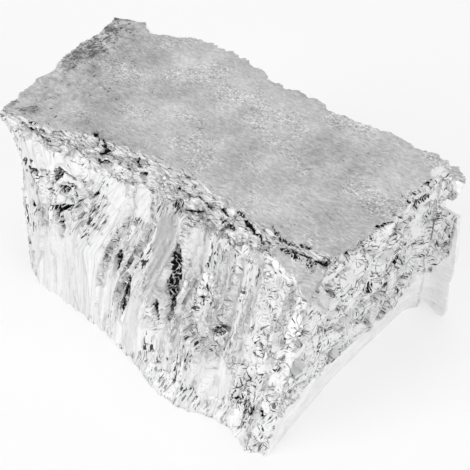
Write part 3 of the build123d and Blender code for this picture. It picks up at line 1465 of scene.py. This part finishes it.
@dataclass(frozen=True)
class ZincFinish:
    """Colours and gloss of the zinc.

    Attributes:
        cast: Dull oxidised top.
        fracture: Bright broken crystals.
        dull: Greyer broken crystals.
        flake: Thin flakes of the rim.
        mould: Smooth skin from the mould.
        gap_shade: Painted shade, near black, in the gaps and cracks.
        shade: Painted shade in the thin lines, splits and ticks between crystals.
        stained: Dark speckles on the top.
        roughness: Roughness of dull zinc.
        polish: How much smoother broken crystals are.
        metallic: Metallic share of dull zinc.
        glint: How much more metallic broken crystals are.
        bump: How strongly the fine relief shows.
        bump_depth: How deep it is, in metres.
    """

    cast: Colour = (0.54, 0.54, 0.54)
    fracture: Colour = (0.91, 0.91, 0.915)
    dull: Colour = (0.43, 0.43, 0.435)
    flake: Colour = (0.66, 0.66, 0.66)
    mould: Colour = (0.93, 0.93, 0.935)
    gap_shade: Colour = (0.012, 0.012, 0.012)
    shade: Colour = (0.035, 0.035, 0.035)
    stained: Colour = (0.05, 0.05, 0.05)
    roughness: float = 0.6
    polish: float = 0.12
    metallic: float = 0.15
    glint: float = 0.12
    bump: float = 0.6
    bump_depth: float = 0.0003

    def broken(self, graph: Graph, place: Value, grain: Value) -> tuple[Value, Value]:
        """Colour the broken crystals.

        Args:
            graph: The material's nodes.
            place: Coordinates, in millimetres.
            grain: Coordinates that run across, into and along the crystals.

        Returns:
            The colour and the fine relief.
        """
        lumpy = graph.stored("lumpy")
        wild = 1.0 - graph.stored("calm")
        fibres, fibres_dark = self.fibres(graph, place, grain, wild)
        blocks, blocks_dark = self.blocks(graph, place, grain, wild)
        grey = blocks * lumpy + fibres * (1.0 - lumpy) - 0.6 * graph.stored("tone")
        # Painted shade in the lines, splits and ticks between crystals
        dark = (blocks_dark * lumpy).most(fibres_dark * (1.0 - lumpy))
        colour = graph.mix(grey.most(0.0).least(1.0), self.fracture, self.dull)
        return graph.mix(dark, colour, self.shade), 0.0 - grey - dark

    @staticmethod
    def fibres(graph: Graph, place: Value, grain: Value, wild: Value) -> tuple[Value, Value]:
        """Draw the straight columns of the front.

        Args:
            graph: The material's nodes.
            place: Coordinates, in millimetres.
            grain: Coordinates that run across, into and along the columns.
            wild: Where the columns are split most.

        Returns:
            How grey they are and how dark the painted shade in the lines between them is.
        """
        patchy = graph.mottle(graph.scaled(place, 0.16), 2.0).rise(0.46, 0.6) * (0.3 + 0.7 * wild)
        columns = graph.crystals(graph.scaled(grain, 0.42, 0.2, 0.02), 0.03)
        lines = graph.mottle(graph.scaled(grain, 2.0, 0.6, 0.05), 3.0, 0.7)
        splits = graph.mottle(graph.scaled(grain, 1.1, 0.4, 0.03), 2.0)
        ticks = graph.mottle(graph.scaled(grain, 2.1, 1.1, 0.42), 2.0, 0.6)
        clusters = graph.mottle(graph.scaled(grain, 0.22, 0.2, 0.14), 3.0).rise(0.41, 0.53)
        stripes = 0.4 * (1.0 - lines.rise(0.42, 0.45)) + 1.4 * (lines - 0.5)
        grey = 0.01 + 0.34 * (columns.shade - 0.5) + stripes
        dark = (0.2 * columns.border).most(0.6 * splits.near(0.5, 0.025) * patchy)
        return grey, dark.most(ticks.rise(0.555, 0.575) * clusters * wild)

    @staticmethod
    def blocks(graph: Graph, place: Value, grain: Value, wild: Value) -> tuple[Value, Value]:
        """Draw the angular granules of the ends, each hatched its own way.

        Args:
            graph: The material's nodes.
            place: Coordinates, in millimetres.
            grain: Coordinates that run across, into and up the side.
            wild: Where the granules are split most.

        Returns:
            How grey they are and how dark the painted shade in the lines between them is.
        """
        large = graph.crystals(graph.scaled(place, 0.26), 0.03)
        small = graph.crystals(graph.scaled(place, 0.42), 0.05)
        hatch = graph.mottle(graph.scaled(graph.turned(grain, small), 0.42, 0.0, 2.4), 2.0, 0.55)
        parted = graph.mottle(graph.scaled(place, 0.35), 3.0)
        split = (1.0 - large.shade.rise(0.8, 0.82)) * (0.4 + 0.6 * parted.rise(0.41, 0.5))
        grey = 0.01 + 0.4 * (0.6 - large.shade) + 0.55 * (small.shade - 0.5) + 1.8 * (hatch - 0.5)
        dark = (hatch.rise(0.57, 0.585) * split).most(0.5 * small.border * parted.rise(0.48, 0.54))
        return grey, dark * (0.3 + 0.7 * wild)

    def flaked(self, graph: Graph, place: Value) -> tuple[Value, Value]:
        """Colour the thin flakes of the rim.

        Args:
            graph: The material's nodes.
            place: Coordinates, in millimetres.

        Returns:
            The colour and the fine relief.
        """
        sheets = graph.crystals(graph.scaled(place, 0.3, 0.8, 0.8), 0.06)
        lines = graph.mottle(graph.scaled(graph.strayed(place, 0.4, 0.8), 0.5, 2.2, 2.2), 3.0, 0.65)
        parted = graph.mottle(graph.scaled(place, 0.3), 3.0)
        level = 1.05 + 0.4 * (sheets.shade - 0.5) + 2.2 * (lines - 0.5)
        # Painted shade in the lines between the flakes
        dark = (0.95 * (1.0 - lines.rise(0.39, 0.42))).most(0.5 * sheets.border) * parted.rise(0.42, 0.5)
        return graph.mix(dark, graph.shade(self.flake, level), self.shade), level - dark

    def weathered(self, graph: Graph, place: Value) -> tuple[Value, Value]:
        """Colour the cast top.

        Args:
            graph: The material's nodes.
            place: Coordinates, in millimetres.

        Returns:
            The colour and the fine relief.
        """
        blotches = graph.mottle(graph.scaled(place, 0.1), 4.0, 0.65)
        feather = graph.mottle(graph.scaled(graph.strayed(place, 0.25, 3.0), 0.8, 2.4, 1.0), 5.0, 0.7)
        flecked = graph.mottle(graph.scaled(place, 0.11), 3.0).rise(0.48, 0.62)
        flecks = graph.mottle(graph.scaled(place, 2.2, 3.0, 2.2), 2.0, 0.6)
        spots = flecks.rise(0.55, 0.62) - 0.8 * (1.0 - flecks.rise(0.38, 0.45))
        # Pores are painted as dark spots, painted shade in small holes
        pore_shade = graph.mottle(graph.scaled(place, 1.15), 2.0, 0.6).rise(0.71, 0.75)
        level = 1.0 + 1.2 * (blotches - 0.5) + 1.6 * (feather - 0.5) + (0.05 + 0.4 * flecked) * spots
        level = level + 0.25 * graph.stored("tone")
        colour = graph.shade(self.cast, level - 0.5 * pore_shade)
        stain = graph.stored("stain")
        speckle = graph.mottle(graph.scaled(place, 1.6, 0.9, 1.6), 4.0, 0.7)
        smudge = graph.mottle(graph.scaled(place, 0.35), 4.0, 0.65)
        colour = graph.shade(colour, 1.0 - 0.5 * stain * smudge.rise(0.42, 0.58))
        ticks = (stain + 4.0 * (speckle - 0.5) + 2.4 * (smudge - 0.5)).rise(0.95, 1.15)
        return graph.mix(ticks * 0.75, colour, self.stained), feather + flecks

    def moulded(self, graph: Graph, place: Value, fine: Value) -> tuple[Value, Value]:
        """Colour the mould skin.

        Args:
            graph: The material's nodes.
            place: Coordinates, in millimetres.
            fine: The finest mottle, around 0.

        Returns:
            The colour and the fine relief.
        """
        wash = graph.mottle(graph.scaled(place, 0.25), 4.0, 0.6)
        ripples = graph.mottle(graph.scaled(place, 0.12, 0.12, 0.9), 4.0, 0.6)
        # Pits are painted as dark spots, painted shade in small hollows
        pit_shade = graph.mottle(graph.scaled(place, 1.1), 2.0).rise(0.7, 0.73)
        level = 1.0 + 0.4 * (wash - 0.5) + 0.35 * (ripples - 0.5) + 0.3 * fine - 0.35 * pit_shade
        return graph.shade(self.mould, level), level

    @staticmethod
    def torn(graph: Graph, grain: Value, fine: Value) -> Value:
        """Paint shade near black into the gaps, with bright slivers left standing in them, and into the
        cracks.

        Args:
            graph: The material's nodes.
            grain: Coordinates that run across, into and along the crystals.
            fine: The finest mottle, around 0.

        Returns:
            1 where painted shade fills a gap or a crack, 0 elsewhere.
        """
        slivers = graph.crystals(graph.scaled(graph.strayed(grain, 0.8, 0.5), 1.3, 1.3, 0.36), 0.1)
        jagged = graph.mottle(graph.scaled(grain, 1.5, 1.5, 0.5), 4.0, 0.7) - 0.5
        gap = graph.stored("gap")
        chance = gap + gap.rise(0.08, 0.3) * (0.3 * (slivers.shade - 0.5) + 2.0 * jagged)
        gap = chance.rise(0.48, 0.53) * (1.0 - slivers.border * jagged.rise(-0.06, 0.02))
        seam = 1.0 - (graph.stored("seam") + 0.9 * fine).rise(-0.02, 0.1)
        return gap.most(seam)

    def material(self) -> bpy.types.Material:
        """Make the material.

        Returns:
            One material for the whole chunk, which reads what is stored at the mesh's points.
        """
        material = bpy.data.materials.new("zinc")
        material.use_nodes = True
        graph = Graph(material.node_tree)
        place = graph.add("ShaderNodeTexCoord", {}, {})["Object"]
        place = graph.scaled(place, 1.0 / MM)
        grain = graph.add("ShaderNodeAttribute", {"attribute_name": "grain"}, {})["Vector"]
        fine = graph.mottle(graph.scaled(place, 2.4), 3.0, 0.6) - 0.5
        fracture = (graph.stored("fracture") + 0.5 * fine).rise(0.35, 0.6)
        rim = (graph.stored("rim") + 1.2 * fine).rise(0.3, 0.7)
        skin = (graph.stored("skin") + 0.6 * fine).rise(0.4, 0.6)
        # Painted shade: gaps and cracks are coloured near black
        gap_shade = self.torn(graph, grain, fine)
        broken, broken_relief = self.broken(graph, place, grain)
        flaked, flaked_relief = self.flaked(graph, place)
        cast, cast_relief = self.weathered(graph, place)
        mould, mould_relief = self.moulded(graph, place, fine)
        colour = graph.mix(rim, graph.mix(fracture, cast, broken), flaked)
        colour = graph.mix(skin, colour, mould)
        colour = graph.mix(gap_shade, colour, self.gap_shade)
        bright = fracture * (1.0 - skin) * (1.0 - 0.6 * rim)
        relief = bright * 0.6 * broken_relief + rim * 0.5 * flaked_relief
        relief = relief + (1.0 - fracture) * 0.15 * cast_relief
        relief = relief * (1.0 - skin) + skin * 0.25 * mould_relief
        inputs = {"Strength": self.bump, "Distance": self.bump_depth, "Height": relief}
        bump = graph.add("ShaderNodeBump", {}, inputs)["Normal"]
        shine = (self.roughness - self.polish * bright) + 0.3 * fine
        # The painted shade in gaps and cracks is fully metallic, so that it stays near black
        metal = (self.metallic + self.glint * bright).most(gap_shade)
        inputs = {"Base Color": colour, "Roughness": shine, "Metallic": metal, "Normal": bump}
        shader = graph.add("ShaderNodeBsdfPrincipled", {}, inputs)["BSDF"]
        graph.add("ShaderNodeOutputMaterial", {}, {"Surface": shader})
        return material


# The studio

@dataclass(frozen=True)
class Lamp:
    """A square soft lamp.

    Attributes:
        name: Its name.
        place: Where it hangs, in metres.
        width: Its width, in metres.
        watts: Its power.
    """

    name: str
    place: Point
    width: float
    watts: float


@dataclass
class Studio:
    """Camera, lamps, floor and surroundings.

    Attributes:
        eye: Where the camera stands, in millimetres.
        aim: What it looks at.
        lens: Its focal length.
        sensor: Width of its picture.
        floor_half: Half the floor's width, in metres.
        floor_drop: How far the floor lies below the chunk's foot, in metres.
        floor_colour: The floor's own colour.
        floor_glow: Share of plain white in the floor as the camera and reflections see it.
        room: Colours of the surroundings, from below to above.
        lamps: The lamps.
        lamp_aim: What they shine at, in metres.
    """

    eye: Point = (134.36, -153.74, 202.07)
    aim: Point = (4.43, 1.11, 20.07)
    lens: float = 99.57
    sensor: float = 36.0
    floor_half: float = 3.0
    floor_drop: float = 0.00002
    floor_colour: Colour = (0.95, 0.95, 0.95)
    floor_glow: float = 0.55
    room: tuple[tuple[float, Colour], ...] = (
        (0.0, (0.9, 0.9, 0.9)),
        (0.35, (0.6, 0.6, 0.6)),
        (1.0, (0.38, 0.38, 0.38)),
    )
    lamps: tuple[Lamp, ...] = (
        Lamp("front_lamp", (-0.25, -0.75, 0.55), 0.6, 3.55),
        Lamp("right_lamp", (0.85, -0.15, 0.45), 0.5, 1.8),
        Lamp("top_lamp", (0.0, 0.1, 0.95), 0.6, 2.1),
    )
    lamp_aim: Point = (0.0, 0.0, 0.02)

    @staticmethod
    def turned(thing: bpy.types.Object, aim: Vector) -> None:
        """Turn a camera or a lamp towards a point."""
        thing.rotation_euler = (aim - thing.location).to_track_quat("-Z", "Y").to_euler()

    def camera(self) -> bpy.types.Object:
        """Set up the camera at the picture's angle.

        Returns:
            The camera.
        """
        data = bpy.data.cameras.new("camera")
        data.sensor_fit = "HORIZONTAL"
        data.sensor_width = self.sensor
        data.lens = self.lens
        data.clip_start = 0.01
        camera = bpy.data.objects.new("camera", data)
        bpy.context.scene.collection.objects.link(camera)
        camera.location = Vector(self.eye) * MM
        self.turned(camera, Vector(self.aim) * MM)
        bpy.context.scene.camera = camera
        return camera

    def hung(self, lamp: Lamp) -> bpy.types.Object:
        """Hang a lamp.

        Args:
            lamp: The lamp's sizes.

        Returns:
            The lamp itself.
        """
        data = bpy.data.lights.new(lamp.name, "AREA")
        data.shape = "SQUARE"
        data.size = lamp.width
        data.energy = lamp.watts
        light = bpy.data.objects.new(lamp.name, data)
        bpy.context.scene.collection.objects.link(light)
        light.location = lamp.place
        self.turned(light, Vector(self.lamp_aim))
        return light

    def floor(self) -> bpy.types.Object:
        """Lay the pale floor.

        Returns:
            The floor.
        """
        half = self.floor_half
        mesh = bpy.data.meshes.new("floor")
        corners = [(-half, -half, 0.0), (half, -half, 0.0), (half, half, 0.0), (-half, half, 0.0)]
        mesh.from_pydata(corners, [], [(0, 1, 2, 3)])
        material = bpy.data.materials.new("floor")
        material.use_nodes = True
        graph = Graph(material.node_tree)
        matt = graph.add("ShaderNodeBsdfDiffuse", {}, {"Color": self.floor_colour})["BSDF"]
        white = graph.add("ShaderNodeEmission", {}, {"Color": (1.0, 1.0, 1.0), "Strength": 1.0})["Emission"]
        path = graph.add("ShaderNodeLightPath", {}, {})
        seen = path["Is Camera Ray"].most(path["Is Glossy Ray"]).most(path["Is Transmission Ray"])
        inputs = {"Fac": self.floor_glow * seen, "Shader": matt, "Shader_001": white}
        both = graph.add("ShaderNodeMixShader", {}, inputs)["Shader"]
        graph.add("ShaderNodeOutputMaterial", {}, {"Surface": both})
        mesh.materials.append(material)
        floor = bpy.data.objects.new("floor", mesh)
        bpy.context.scene.collection.objects.link(floor)
        floor.location.z = -self.floor_drop
        return floor

    def surroundings(self) -> None:
        """Surround the chunk with a pale room that darkens upwards."""
        world = bpy.data.worlds.new("room")
        world.use_nodes = True
        bpy.context.scene.world = world
        graph = Graph(world.node_tree)
        height = graph.add("ShaderNodeTexCoord", {}, {})["Generated"]
        height = graph.add("ShaderNodeSeparateXYZ", {}, {"Vector": height})["Z"]
        room = graph.add("ShaderNodeValToRGB", {"stops": self.room}, {"Fac": height})["Color"]
        light = graph.add("ShaderNodeBackground", {}, {"Color": room, "Strength": 1.0})["Background"]
        graph.add("ShaderNodeOutputWorld", {}, {"Surface": light})

    def build(self) -> list[bpy.types.Object]:
        """Set up the whole studio.

        Returns:
            The camera, the floor and the lamps.
        """
        bpy.context.scene.view_settings.view_transform = "Standard"
        self.surroundings()
        return [self.camera(), self.floor(), *(self.hung(lamp) for lamp in self.lamps)]


def main() -> None:
    """Build the studio and the chunk, and report each piece and the chunk's face count."""
    logging.basicConfig(level=logging.INFO, format="%(name)s %(message)s")
    for thing in Studio().build():
        LOG.info("%s is set up", thing.name)
    piece = ZincIngot().build(ZincFinish().material())
    LOG.info("%s has %d faces", piece.name, len(piece.data.polygons))


if __name__ == "__main__":
    main()
